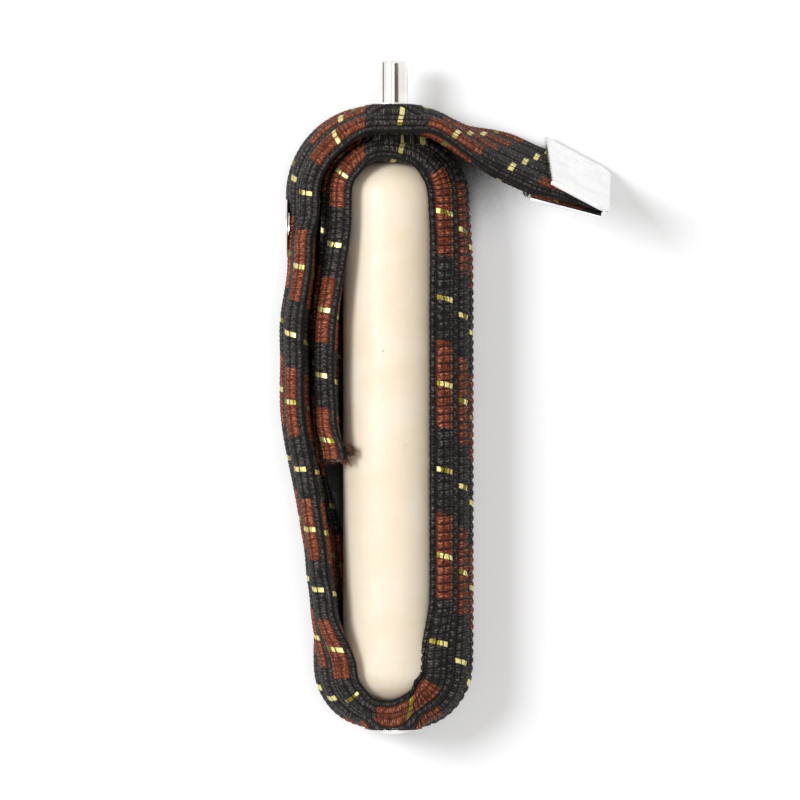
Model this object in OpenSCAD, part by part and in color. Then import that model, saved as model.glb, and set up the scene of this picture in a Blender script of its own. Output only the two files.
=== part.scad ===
// Elastic guitar capo: a rubber-sleeved rod held across the strings by a woven elastic strap.
// +Y runs along the rod to its free peg, +Z is up from the table, X is across the sleeve.
// The origin is on the rod's axis, where the peg comes out of the hook eyelet.

/* [Rod] */
// Diameter of the steel rod
rod_d = 3.2; // [2.6:0.1:4.5]
// Free length of the peg beyond the hook eyelet
peg_len = 4.5; // [3.5:0.1:8]
// Chamfer on the peg's end
peg_chamfer = 0.25; // [0.1:0.05:0.4]
// Width of the groove that the hook eyelet's rim sits in
groove_w = 0.7; // [0.6:0.05:1]
// Depth of that groove
groove_d = 0.2; // [0.18:0.01:0.3]
// Length that the rod shows past the bottom eyelet
rod_show = 0.45; // [0.2:0.05:1]
// Height of the domed end of the rod
dome_h = 0.4; // [0.2:0.05:0.8]

/* [Sleeve] */
// Outer diameter of the latex sleeve
sleeve_d = 11.1; // [9:0.1:14]
// Length of the latex sleeve
sleeve_len = 59.2; // [45:0.5:75]
// Radius of the sleeve's soft ends
sleeve_edge_r = 3.6; // [1:0.1:3.8]
// Radial room between the sleeve's bore and the rod
sleeve_fit = 0.02; // [0.01:0.01:0.05]

/* [Strap] */
// Width of the strap, which stands on its edge
strap_w = 12.7; // [11:0.1:16]
// Thickness of the strap
strap_t = 2.4; // [1.8:0.1:3]
// Room between the sleeve's side and the strap
side_gap = 0.3; // [0.2:0.05:0.5]
// Room between the sleeve's ends and the strap
end_gap = 0.5; // [0.45:0.05:1]
// Room between the two layers of strap
layer_gap = 0.9; // [0.85:0.05:1.4]
// Inner radius of the strap's turns
turn_r = 4; // [3:0.1:4.2]
// Length of the cut end's run, from the top turn
cut_run = 29; // [15:0.5:35]
// How far the stretched outer run bows out
bow = 0.9; // [0.3:0.1:1.5]
// Length of the outer run's straight top, where the spare eyelet sits
spare_run = 7.4; // [7:0.1:10]

/* [Tail] */
// Angle of the free tail below the X axis
tail_angle = 25; // [15:1:35]
// Lean of the tail and of its clasp
tail_lean = 20; // [0:1:22]
// Length of the tail's bend and twist, with the swing axis halfway
bend_len = 8; // [7:0.1:10]
// Length of the tail's flat part, up to the clasp
tail_len = 4.1; // [3:0.1:20]

/* [Clasp] */
// Width of the clasp, along the strap's width
clasp_w = 12.9; // [11:0.1:16]
// Thickness of the clasp's sheet
sheet_t = 0.45; // [0.3:0.05:0.6]
// Length of the outer leaf
outer_leaf = 7.5; // [5:0.1:9]
// Length of the inner leaf
inner_leaf = 8.3; // [5.5:0.1:9.5]
// Slope of the outer leaf
leaf_slope = 3; // [1:0.5:5]
// Inner radius of the fold
fold_r = 0.15; // [0.1:0.01:0.3]

/* [Eyelets] */
// Radial room between an eyelet and the rod
eyelet_fit = 0.1; // [0.05:0.01:0.1]
// Wall of an eyelet's barrel
barrel_t = 0.3; // [0.2:0.05:0.5]
// Outer diameter of the flange and of the washer
flange_d = 6.4; // [5.6:0.1:6.8]
// Thickness of the flange
flange_t = 0.25; // [0.2:0.05:0.4]
// Thickness of the washer
washer_t = 0.25; // [0.15:0.05:0.3]
// Thickness of the rolled lip that holds the washer
lip_t = 0.12; // [0.08:0.02:0.15]
// Width of that lip beyond the barrel
lip_w = 0.5; // [0.3:0.05:0.8]

/* [Rubber cores] */
// Diameter of a rubber core in the strap
core_d = 0.9; // [0.6:0.05:1.1]
// Length that the cores stand out of the cut end
core_show = 0.6; // [0.3:0.05:1.2]
// Number of rubber cores across the strap
core_count = 9; // [7:1:10]

/* [Hidden] */
$fn = 48;
eps = 0.01;

rod_r = rod_d / 2;
bore_r = rod_r + eyelet_fit;
barrel_r = bore_r + barrel_t;
flange_r = flange_d / 2;
sleeve_r = sleeve_d / 2;
washer_fit = 0.02;
hole_r = barrel_r + washer_fit;

// the layers at the hook end, counted back from the flange's face at Y = 0
hook_face = -flange_t;
inner_face = hook_face - strap_t - layer_gap;
top_in = inner_face - strap_t;
sleeve_top = top_in - end_gap;
sleeve_end = sleeve_top - sleeve_len;
bottom_in = sleeve_end - end_gap;
bottom_face = bottom_in - strap_t;
rod_end = bottom_face - flange_t - rod_show;

// the strap's inner layer, and the centres of its turns
in_x = sleeve_r + side_gap;
turn_x = in_x - turn_r;
top_turn_y = top_in - turn_r;
bottom_turn_y = bottom_in + turn_r;
cut_y = top_turn_y - cut_run;

// the outer layer, on the same centres
out_r = turn_r + strap_t + layer_gap;
out_x = in_x + strap_t + layer_gap;
spare_y = top_turn_y - spare_run / 2;
run_top_y = top_turn_y - spare_run;

// the tail's own frame: X along it and Y towards its outer face
tail_r = out_r + strap_t / 2;
tail_start = [turn_x + tail_r * sin(tail_angle), top_turn_y + tail_r * cos(tail_angle)];
clasp_foot = strap_t / 2 + sheet_t;
tail_lift = clasp_w / 2 * cos(tail_lean) + clasp_foot * sin(tail_lean) - strap_w / 2;
mouth_x = bend_len + tail_len;
thin = 0.02;

// the clasp's fold, placed so that its mouth is as wide as the strap
fold_x = mouth_x + outer_leaf * cos(leaf_slope);
fold_y = strap_t / 2 - fold_r * cos(leaf_slope) - outer_leaf * sin(leaf_slope);
inner_slope = asin((fold_y + strap_t / 2 - fold_r) / inner_leaf);
wedge_tip = 1;

// a point on a leaf's inner face, at a distance from the fold
function leaf_point(side, along) =
  let (slope = side > 0 ? leaf_slope : inner_slope)
  [
    fold_x - along * cos(slope) + fold_r * sin(slope),
    fold_y + side * (along * sin(slope) + fold_r * cos(slope))
  ];

// smooth step from 0 to 1
function ease(u) = let (c = min(1, max(0, u))) c * c * (3 - 2 * c);

// centre line of the outer run, from its top at u = 0 to the bottom turn at u = 1
run_len = run_top_y - bottom_turn_y;
run_in = out_x - in_x;
run_steps = 28;
function run_x(u) =
  -(out_x + strap_t / 2) + run_in * ease((u - 0.35) / 0.65) - bow * pow(sin(180 * min(1, u / 0.6)), 2);
function run_point(i, side) =
  let (u = i / run_steps) [run_x(u) + side * strap_t / 2, run_top_y - u * run_len];

// stand a flat outline on its edge, as wide as the strap
module on_edge() {
  translate([0, 0, -strap_w / 2]) linear_extrude(strap_w) children();
}

// a quarter or less of a turn, swept from angle a to angle b
module turn(r, a, b) {
  far = 2 * (r + strap_t);
  intersection() {
    difference() {
      circle(r + strap_t);
      circle(r);
    }
    polygon([[0, 0], far * [cos(a), sin(a)], far * [cos((a + b) / 2), sin((a + b) / 2)], far * [cos(b), sin(b)]]);
  }
}

// the hole that an eyelet's barrel fills, along +Y
module rod_hole(y, depth) {
  translate([0, y - eps, 0]) rotate([-90, 0, 0]) cylinder(r = hole_r, h = depth + 2 * eps);
}

// the seat that a washer presses flat in the strap, on the strap's inner face at Y = y
module washer_seat(y, side) {
  depth = washer_t + lip_t;
  translate([0, side > 0 ? y - depth : y, 0]) rotate([-90, 0, 0]) cylinder(r = flange_r + washer_fit, h = depth);
}

// an eyelet with its flange's seat at Z = 0 and its barrel going down
module eyelet() {
  depth = strap_t + washer_t + lip_t;
  difference() {
    union() {
      rotate_extrude() {
        translate([bore_r / 2, 0]) square([flange_r - flange_t / 2 - bore_r / 2, flange_t]);
        translate([flange_r - flange_t / 2, flange_t / 2]) circle(flange_t / 2, $fn = 24);
      }
      translate([0, 0, -depth]) cylinder(r = barrel_r, h = depth + flange_t / 2);
      translate([0, 0, -depth]) cylinder(r = barrel_r + lip_w, h = lip_t);
    }
    translate([0, 0, -depth - 1]) cylinder(r = bore_r, h = depth + flange_t + 2);
  }
}

// the washer under an eyelet's lip
module washer() {
  translate([0, 0, -strap_t - washer_t]) difference() {
    cylinder(r = flange_r, h = washer_t);
    translate([0, 0, -1]) cylinder(r = hole_r, h = washer_t + 2);
  }
}

// face along +Y, along -Y, and along -X
module at_top(y) {
  translate([0, y, 0]) rotate([-90, 0, 0]) children();
}
module at_bottom(y) {
  translate([0, y, 0]) rotate([90, 0, 0]) children();
}
module at_spare() {
  translate([-out_x - strap_t, spare_y, 0]) rotate([0, -90, 0]) children();
}

// the tail's frame, upright or leaning
module in_tail() {
  translate([tail_start[0], tail_start[1], 0]) rotate([0, 0, -tail_angle]) children();
}
module leaning() {
  translate([0, 0, tail_lift]) rotate([tail_lean, 0, 0]) children();
}

module rod() {
  color("silver") rotate([-90, 0, 0]) rotate_extrude() polygon([
    [0, rod_end],
    [rod_r * 0.55, rod_end + dome_h * 0.12],
    [rod_r * 0.85, rod_end + dome_h * 0.45],
    [rod_r, rod_end + dome_h],
    [rod_r, -groove_w],
    [rod_r - groove_d, -groove_w],
    [rod_r - groove_d, 0],
    [rod_r, 0],
    [rod_r, peg_len],
    [rod_r - peg_chamfer, peg_len + peg_chamfer],
    [0, peg_len + peg_chamfer]
  ]);
}

module latex_sleeve() {
  flat_r = sleeve_r - sleeve_edge_r;
  color("blanchedalmond") translate([0, sleeve_end, 0]) rotate([-90, 0, 0]) rotate_extrude() difference() {
    union() {
      square([flat_r, sleeve_len]);
      translate([0, sleeve_edge_r]) square([sleeve_r, sleeve_len - 2 * sleeve_edge_r]);
      for (y = [sleeve_edge_r, sleeve_len - sleeve_edge_r]) translate([flat_r, y]) circle(sleeve_edge_r);
    }
    translate([-sleeve_r, -1]) square([sleeve_r + rod_r + sleeve_fit, sleeve_len + 2]);
    translate([-2 * sleeve_r, -1]) square([2 * sleeve_r, sleeve_len + 2]);
  }
}

module strap_cut_run() {
  color("saddlebrown") on_edge() translate([-in_x - strap_t, cut_y]) square([strap_t, cut_run]);
}

module strap_inner_turn() {
  color("saddlebrown") difference() {
    on_edge() {
      translate([turn_x, top_turn_y]) turn(turn_r, 0, 90);
      translate([-turn_x, top_turn_y]) turn(turn_r, 90, 180);
      translate([-turn_x, top_in]) square([2 * turn_x, strap_t]);
    }
    rod_hole(top_in, strap_t);
    washer_seat(top_in, 1);
  }
}

module strap_right_run() {
  color("black") on_edge() translate([in_x, bottom_turn_y]) square([strap_t, top_turn_y - bottom_turn_y]);
}

module strap_bottom_turn() {
  color("saddlebrown") difference() {
    on_edge() {
      translate([turn_x, bottom_turn_y]) turn(turn_r, 270, 360);
      translate([-turn_x, bottom_turn_y]) turn(turn_r, 180, 270);
      translate([-turn_x, bottom_face]) square([2 * turn_x, strap_t]);
    }
    rod_hole(bottom_face, strap_t);
    washer_seat(bottom_in, -1);
  }
}

module strap_outer_run() {
  color("black") on_edge() polygon([
    for (i = [0:run_steps]) run_point(i, 1),
    for (i = [run_steps:-1:0]) run_point(i, -1)
  ]);
}

module strap_hook_turn() {
  color("saddlebrown") difference() {
    on_edge() {
      translate([-out_x - strap_t, run_top_y]) square([strap_t, spare_run]);
      translate([-turn_x, top_turn_y]) turn(out_r, 90, 180);
      translate([-turn_x, top_turn_y + out_r]) square([2 * turn_x, strap_t]);
      translate([turn_x, top_turn_y]) turn(out_r, 90 - tail_angle, 90);
    }
    rod_hole(hook_face - strap_t, strap_t);
    washer_seat(hook_face - strap_t, 1);
    translate([-out_x - strap_t - eps, spare_y, 0]) rotate([0, 90, 0]) cylinder(r = hole_r, h = strap_t + 2 * eps);
  }
}

module strap_tail_bend() {
  color("black") in_tail() hull() {
    translate([0, -strap_t / 2, -strap_w / 2]) cube([thin, strap_t, strap_w]);
    leaning() translate([bend_len - thin, -strap_t / 2, -strap_w / 2]) cube([thin, strap_t, strap_w]);
  }
}

module strap_tail() {
  color("saddlebrown") in_tail() leaning() on_edge() polygon([
    [bend_len, -strap_t / 2],
    leaf_point(-1, inner_leaf),
    leaf_point(-1, wedge_tip),
    leaf_point(1, wedge_tip),
    leaf_point(1, outer_leaf),
    [bend_len, strap_t / 2]
  ]);
}

module inner_eyelet() {
  color("gainsboro") at_top(inner_face) eyelet();
}

module inner_washer() {
  color("gainsboro") at_top(inner_face) washer();
}

module bottom_eyelet() {
  color("gainsboro") at_bottom(bottom_face) eyelet();
}

module bottom_washer() {
  color("gainsboro") at_bottom(bottom_face) washer();
}

module hook_eyelet() {
  color("gainsboro") at_top(hook_face) eyelet();
}

module hook_washer() {
  color("gainsboro") at_top(hook_face) washer();
}

module spare_eyelet() {
  color("gainsboro") at_spare() eyelet();
}

module spare_washer() {
  color("gainsboro") at_spare() washer();
}

module tail_clasp() {
  reach = 2 * (fold_r + sheet_t);
  color("whitesmoke") in_tail() leaning() translate([0, 0, -clasp_w / 2]) linear_extrude(clasp_w)
    translate([fold_x, fold_y]) {
      rotate(180 - leaf_slope) translate([0, -fold_r - sheet_t]) square([outer_leaf, sheet_t]);
      rotate(180 + inner_slope) translate([0, fold_r]) square([inner_leaf, sheet_t]);
      intersection() {
        difference() {
          circle(fold_r + sheet_t);
          circle(fold_r);
        }
        polygon([
          [0, 0],
          reach * [sin(inner_slope), -cos(inner_slope)],
          reach * [1, -1],
          reach * [1, 1],
          reach * [sin(leaf_slope), cos(leaf_slope)]
        ]);
      }
    }
}

module cut_end_cores() {
  pitch = strap_w / core_count;
  color("tan") for (i = [0:core_count - 1])
    translate([-in_x - strap_t / 2, cut_y, (i + 0.5) * pitch - strap_w / 2])
      rotate([90, 0, 0]) cylinder(d = core_d, h = core_show);
}

rod();
latex_sleeve();
strap_cut_run();
strap_inner_turn();
strap_right_run();
strap_bottom_turn();
strap_outer_run();
strap_hook_turn();
strap_tail_bend();
strap_tail();
inner_eyelet();
inner_washer();
bottom_eyelet();
bottom_washer();
hook_eyelet();
hook_washer();
spare_eyelet();
spare_washer();
tail_clasp();
cut_end_cores();
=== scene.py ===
import math
import random
import bpy
import numpy as np
from mathutils import Matrix, Vector


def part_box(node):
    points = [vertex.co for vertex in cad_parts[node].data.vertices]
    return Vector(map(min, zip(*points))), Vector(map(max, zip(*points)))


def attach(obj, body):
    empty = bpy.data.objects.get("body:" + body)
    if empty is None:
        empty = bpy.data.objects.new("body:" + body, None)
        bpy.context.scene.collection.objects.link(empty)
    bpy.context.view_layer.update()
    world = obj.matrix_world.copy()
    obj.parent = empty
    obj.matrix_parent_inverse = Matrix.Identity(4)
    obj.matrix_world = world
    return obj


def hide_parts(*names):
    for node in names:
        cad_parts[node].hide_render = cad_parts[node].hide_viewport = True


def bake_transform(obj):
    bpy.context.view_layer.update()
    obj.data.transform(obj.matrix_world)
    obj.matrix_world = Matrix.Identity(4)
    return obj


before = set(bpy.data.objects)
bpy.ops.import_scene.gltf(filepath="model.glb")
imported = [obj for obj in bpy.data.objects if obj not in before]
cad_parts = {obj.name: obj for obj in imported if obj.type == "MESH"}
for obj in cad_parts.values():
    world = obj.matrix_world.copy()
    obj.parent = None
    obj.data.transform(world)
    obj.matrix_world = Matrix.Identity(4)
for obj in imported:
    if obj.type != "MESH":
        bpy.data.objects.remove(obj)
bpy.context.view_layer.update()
mm = 0.001
print("frame loaded")


def boxOf(node):  # a node's lowest and highest corner, in millimetres
    low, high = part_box(node)
    return np.array(low) / mm, np.array(high) / mm


def clearSelection():
    if bpy.context.mode != "OBJECT":
        bpy.ops.object.mode_set(mode="OBJECT")
    bpy.ops.object.select_all(action="DESELECT")


def pick(piece):
    clearSelection()
    piece.select_set(True)
    bpy.context.view_layer.objects.active = piece


def edit(piece, kind="VERT"):
    pick(piece)
    bpy.ops.object.mode_set(mode="EDIT")
    bpy.ops.mesh.select_mode(type=kind)
    bpy.ops.mesh.select_all(action="DESELECT")


def selectWhere(piece, test):  # edit mode, vertices: the test is given each vertex's place in millimetres
    bpy.ops.mesh.select_all(action="DESELECT")
    bpy.ops.object.mode_set(mode="OBJECT")
    for vertex in piece.data.vertices:
        vertex.select = bool(test(vertex.co / mm))
    bpy.ops.object.mode_set(mode="EDIT")


def place(piece, matrix):  # puts a finished mesh where it belongs and leaves its object at the origin
    pick(piece)
    piece.matrix_world = matrix @ piece.matrix_world
    bpy.ops.object.transform_apply(location=True, rotation=True, scale=True)


def finish(piece, material, body=None, nodes=(), smooth=35):
    pick(piece)
    bpy.ops.object.transform_apply(location=True, rotation=True, scale=True)
    bpy.ops.object.shade_smooth_by_angle(angle=math.radians(smooth))
    piece.data.materials.clear()
    piece.data.materials.append(material)
    if body:
        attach(piece, body)
    if nodes:
        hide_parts(*nodes)
    return piece


# sizes that the frame gives
rightLow, rightHigh = boxOf("strap_right_run")
cutLow = boxOf("strap_cut_run")[0]
hookLow = boxOf("strap_hook_turn")[0]
bottomLow = boxOf("strap_bottom_turn")[0]
sleeveLow, sleeveHigh = boxOf("latex_sleeve")
rodLow, rodHigh = boxOf("rod")
spareLow, spareHigh = boxOf("spare_eyelet")
innerEyeletHigh = boxOf("inner_eyelet")[1]
tableZ = rightLow[2]
wide = rightHigh[2] - rightLow[2]
halfThick = (rightHigh[0] - rightLow[0]) / 2
innerX = rightLow[0] + halfThick  # middle of the inner layer
outerX = -hookLow[0] - halfThick  # middle of the outer layer
topY, bottomY = rightHigh[1], rightLow[1]  # where the turns begin
runTopY = hookLow[1]

# materials


def nodeOf(tree, kind, **values):
    made = tree.nodes.new("ShaderNode" + kind)
    for name, value in values.items():
        setattr(made, name, value)
    return made


def connect(tree, value, socket):  # a number is set on the socket, anything else is linked
    if isinstance(value, (int, float, tuple)):
        socket.default_value = value
    else:
        tree.links.new(value, socket)


def sums(tree, operation, *values):
    made = nodeOf(tree, "Math", operation=operation)
    for value, socket in zip(values, made.inputs):
        connect(tree, value, socket)
    return made.outputs[0]


def mixed(tree, share, first, second, blend="MIX"):
    made = nodeOf(tree, "Mix", data_type="RGBA", blend_type=blend)
    connect(tree, share, made.inputs[0])
    connect(tree, first, made.inputs[6])
    connect(tree, second, made.inputs[7])
    return made.outputs[2]


def ranged(tree, value, low, high, newLow=0.0, newHigh=1.0):
    made = nodeOf(tree, "MapRange", interpolation_type="SMOOTHSTEP")
    for number, socket in zip((value, low, high, newLow, newHigh), made.inputs):
        connect(tree, number, socket)
    return made.outputs[0]


def noise(tree, place, scale, detail=3.0, rough=0.55):
    made = nodeOf(tree, "TexNoise")
    connect(tree, place, made.inputs["Vector"])
    connect(tree, scale, made.inputs["Scale"])
    made.inputs["Detail"].default_value = detail
    made.inputs["Roughness"].default_value = rough
    return made.outputs[0]


def bumped(tree, shader, height, strength, distance):
    made = nodeOf(tree, "Bump")
    made.inputs["Strength"].default_value = strength
    made.inputs["Distance"].default_value = distance
    connect(tree, height, made.inputs["Height"])
    tree.links.new(made.outputs[0], shader.inputs["Normal"])


def newMaterial(name, **values):
    material = bpy.data.materials.new(name)
    material.use_nodes = True
    shader = material.node_tree.nodes["Principled BSDF"]
    for socket, value in values.items():
        shader.inputs[socket.replace("_", " ")].default_value = value
    return material, material.node_tree, shader


def objectPlace(tree, stretch=(1, 1, 1)):
    made = nodeOf(tree, "Mapping")
    tree.links.new(nodeOf(tree, "TexCoord").outputs["Object"], made.inputs["Vector"])
    made.inputs["Scale"].default_value = stretch
    return made.outputs[0]


weave = {
    "black": (0.0045, 0.0036, 0.0033, 1),
    # painted highlight colour for the crests of the black threads
    "blackPaintedHighlight": (0.19, 0.168, 0.16, 1),
    "rust": (0.15, 0.029, 0.011, 1),
    # painted highlight colour for the crests of the rust threads
    "rustPaintedHighlight": (0.70, 0.255, 0.145, 1),
    "rustDeep": (0.04, 0.007, 0.004, 1),
    "foil": (0.82, 0.72, 0.30, 1),
    "foilDull": (0.20, 0.16, 0.02, 1),
    "foilHalf": 0.27,  # half the length of a foil fleck
    "foilSoft": 0.03,  # how soft its ends are
    "threads": 3,  # threads that show in each wrap
}


def weaveMaterial():
    # the strap's own attributes: weave = pattern, cord across the face, count of wraps; block = block length
    material, tree, shader = newMaterial("wovenElastic", Roughness=0.62, Specular_IOR_Level=0.14)
    own = nodeOf(tree, "Attribute", attribute_name="weave")
    parts = nodeOf(tree, "SeparateXYZ")
    tree.links.new(own.outputs["Vector"], parts.inputs[0])
    pattern, cord, wraps = parts.outputs
    block = nodeOf(tree, "Attribute", attribute_name="block").outputs["Fac"]
    wander = noise(tree, own.outputs["Vector"], 3.0)
    rib = sums(tree, "FLOORED_MODULO", sums(tree, "SUBTRACT", cord, 1.0), 3.0)
    within = sums(tree, "MULTIPLY", sums(tree, "GREATER_THAN", cord, 1.0),
                  sums(tree, "LESS_THAN", cord, 12.0))
    onRib = sums(tree, "MULTIPLY", sums(tree, "LESS_THAN", rib, 2.0), within)
    strand = sums(tree, "MULTIPLY", rib, 1.5)
    acrossStrand = sums(tree, "ABSOLUTE", sums(tree, "SUBTRACT", sums(tree, "FRACT", strand), 0.5))
    # blocks of rust and black, with a ragged change
    frayed = sums(tree, "ADD", pattern, sums(tree, "MULTIPLY", sums(tree, "SUBTRACT", wander, 0.5), 0.10))
    turnOver = sums(tree, "COSINE", sums(tree, "MULTIPLY", frayed, math.pi))
    rust = sums(tree, "MULTIPLY", onRib, ranged(tree, turnOver, -0.06, 0.06))
    # a foil fleck in each block, one piece on each strand
    whole = sums(tree, "ROUND", pattern)
    fromFleck = sums(tree, "MULTIPLY", sums(tree, "ABSOLUTE", sums(tree, "SUBTRACT", pattern, whole)), block)
    lot = nodeOf(tree, "CombineXYZ")
    tree.links.new(whole, lot.inputs[0])
    tree.links.new(sums(tree, "FLOOR", sums(tree, "MULTIPLY", cord, 1.5)), lot.inputs[1])
    luck = nodeOf(tree, "TexWhiteNoise", noise_dimensions="2D")
    tree.links.new(lot.outputs[0], luck.inputs["Vector"])
    foilHalf, foilSoft = weave["foilHalf"], weave["foilSoft"]
    fleck = sums(tree, "MULTIPLY", ranged(tree, fromFleck, foilHalf + foilSoft, foilHalf - foilSoft),
                 ranged(tree, acrossStrand, 0.46, 0.36))
    fleck = sums(tree, "MULTIPLY", fleck, onRib)
    # wraps over each cord, and the fine threads in them, each a little lighter or darker
    wrap = sums(tree, "ABSOLUTE", sums(tree, "SINE", sums(tree, "MULTIPLY", wraps, math.pi)))
    turns = sums(tree, "ADD", sums(tree, "MULTIPLY", wraps, weave["threads"]),
                 sums(tree, "ADD", acrossStrand, sums(tree, "MULTIPLY", wander, 1.2)))
    thread = sums(tree, "ABSOLUTE", sums(tree, "SINE", sums(tree, "MULTIPLY", turns, math.pi)))
    stitch = nodeOf(tree, "CombineXYZ")
    tree.links.new(sums(tree, "FLOOR", turns), stitch.inputs[0])
    tree.links.new(sums(tree, "FLOOR", sums(tree, "MULTIPLY", cord, 1.5)), stitch.inputs[1])
    tone = nodeOf(tree, "TexWhiteNoise", noise_dimensions="2D")
    tree.links.new(stitch.outputs[0], tone.inputs["Vector"])
    lint = noise(tree, objectPlace(tree), 3400.0, 4.0, 0.6)
    # a block is longer where the strap is stretched, and painted shade darkens the gaps between wraps there
    stretched = ranged(tree, block, 7.3, 9.3)
    shade = sums(tree, "MULTIPLY", ranged(tree, wrap, 0.55, 0.05),
                 ranged(tree, stretched, 0.0, 1.0, 0.3, 0.9))
    # crest is a painted highlight on the thread crests, brightest mid-strand, varied at random per stitch and
    # by lint, and kept out of the painted shade
    crest = sums(tree, "MULTIPLY", ranged(tree, thread, 0.1, 0.95), ranged(tree, acrossStrand, 0.5, 0.1))
    crest = sums(tree, "MULTIPLY", crest, ranged(tree, tone.outputs["Value"], 0.0, 1.0, 0.15, 1.0))
    crest = sums(tree, "MULTIPLY", crest, ranged(tree, lint, 0.35, 0.6, 0.35, 1.0))
    crest = sums(tree, "MULTIPLY", crest, sums(tree, "SUBTRACT", 1.0, shade))
    rustBase = mixed(tree, ranged(tree, wander, 0.35, 0.6), weave["rustDeep"], weave["rust"])
    rustColour = mixed(tree, crest, rustBase, weave["rustPaintedHighlight"])
    blackColour = mixed(tree, crest, weave["black"], weave["blackPaintedHighlight"])
    lucky = ranged(tree, luck.outputs["Value"], 0.25, 0.45)
    foilColour = mixed(tree, lucky, weave["foilDull"], weave["foil"])
    colour = mixed(tree, rust, blackColour, rustColour)
    # painted shade darkens the valleys between cords
    valley = sums(tree, "ABSOLUTE", sums(tree, "SUBTRACT", sums(tree, "FRACT", cord), 0.5))
    colour = mixed(tree, sums(tree, "MULTIPLY", ranged(tree, valley, 0.36, 0.5), 0.55), colour,
                   weave["black"])
    # painted shade in the gaps between wraps
    colour = mixed(tree, sums(tree, "MULTIPLY", shade, 0.8), colour, weave["black"])
    colour = mixed(tree, fleck, colour, foilColour)
    tree.links.new(colour, shader.inputs["Base Color"])
    tree.links.new(sums(tree, "MULTIPLY", fleck, 0.75), shader.inputs["Metallic"])
    tree.links.new(ranged(tree, fleck, 0.0, 1.0, 0.62, 0.33), shader.inputs["Roughness"])
    relief = sums(tree, "ADD", sums(tree, "MULTIPLY", wrap, 1.5), sums(tree, "ADD", thread, lint))
    relief = sums(tree, "MULTIPLY", relief, sums(tree, "SUBTRACT", 1.0, fleck))
    bumped(tree, shader, relief, 0.7, 0.00006)
    return material


def metalMaterial(name, colour, rough, scratch):
    material, tree, shader = newMaterial(name, Metallic=1.0)
    spot = objectPlace(tree)
    patches = noise(tree, spot, 420.0)
    lines = noise(tree, objectPlace(tree, scratch), 900.0, 2.0)
    dark = tuple(0.93 * part for part in colour[:3]) + (1,)
    tree.links.new(mixed(tree, ranged(tree, patches, 0.40, 0.65), colour, dark), shader.inputs["Base Color"])
    tree.links.new(ranged(tree, lines, 0.3, 0.75, rough, rough + 0.12), shader.inputs["Roughness"])
    bumped(tree, shader, lines, 0.08, 0.00002)
    return material


def latexMaterial():
    material, tree, shader = newMaterial("creamLatex", Subsurface_Weight=0.3, Subsurface_Scale=0.0025)
    shader.inputs["Subsurface Radius"].default_value = (1.0, 0.6, 0.35)
    spot = objectPlace(tree)
    cloud = noise(tree, spot, 160.0, 3.0)
    colour = mixed(tree, ranged(tree, cloud, 0.35, 0.7), (0.93, 0.815, 0.67, 1), (0.89, 0.76, 0.585, 1))
    dust = ranged(tree, noise(tree, spot, 1300.0, 2.0), 0.735, 0.79)
    colour = mixed(tree, sums(tree, "MULTIPLY", dust, 0.45), colour, (0.34, 0.24, 0.17, 1))
    tree.links.new(colour, shader.inputs["Base Color"])
    skin = noise(tree, spot, 900.0, 5.0, 0.6)
    tree.links.new(ranged(tree, skin, 0.3, 0.7, 0.42, 0.56), shader.inputs["Roughness"])
    bumped(tree, shader, skin, 0.12, 0.00008)
    return material


def plainThread(name, low, high):
    material, tree, shader = newMaterial(name, Roughness=0.6)
    tone = noise(tree, objectPlace(tree), 1800.0)
    tree.links.new(mixed(tree, ranged(tree, tone, 0.35, 0.65), low, high), shader.inputs["Base Color"])
    bumped(tree, shader, tone, 0.3, 0.00003)
    return material


wovenElastic = weaveMaterial()
steel = metalMaterial("polishedSteel", (0.90, 0.88, 0.85, 1), 0.06, (1, 0.05, 1))
nickel = metalMaterial("nickelEyelet", (0.78, 0.77, 0.75, 1), 0.16, (1, 1, 1))
# nickel painted near black: painted shade for the eyelet and washers that sit in shadow between the strap's
# layers
shadowDarkNickel = metalMaterial("paintedShadeNickel", (0.10, 0.095, 0.09, 1), 0.45, (1, 1, 1))
claspMetal = metalMaterial("pressedClasp", (0.84, 0.84, 0.835, 1), 0.22, (0.2, 1, 1))
latex = latexMaterial()
blackThread = plainThread("blackThread", (0.006, 0.006, 0.006, 1), (0.05, 0.048, 0.05, 1))
rustThread = plainThread("rustThread", (0.05, 0.012, 0.006, 1), (0.30, 0.09, 0.05, 1))
rubber = plainThread("rubberCore", (0.05, 0.035, 0.024, 1), (0.13, 0.09, 0.06, 1))
frayedThread = plainThread("frayedThread", (0.02, 0.009, 0.004, 1), (0.13, 0.06, 0.022, 1))
print("materials made")

# turned pieces: rod, sleeve and eyelets


def bend(centre, radius, start, end, steps=8):  # points of an arc in a turned outline
    angles = [math.radians(start + (end - start) * i / steps) for i in range(steps + 1)]
    return [(centre[0] + radius * math.cos(a), centre[1] + radius * math.sin(a)) for a in angles]


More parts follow.
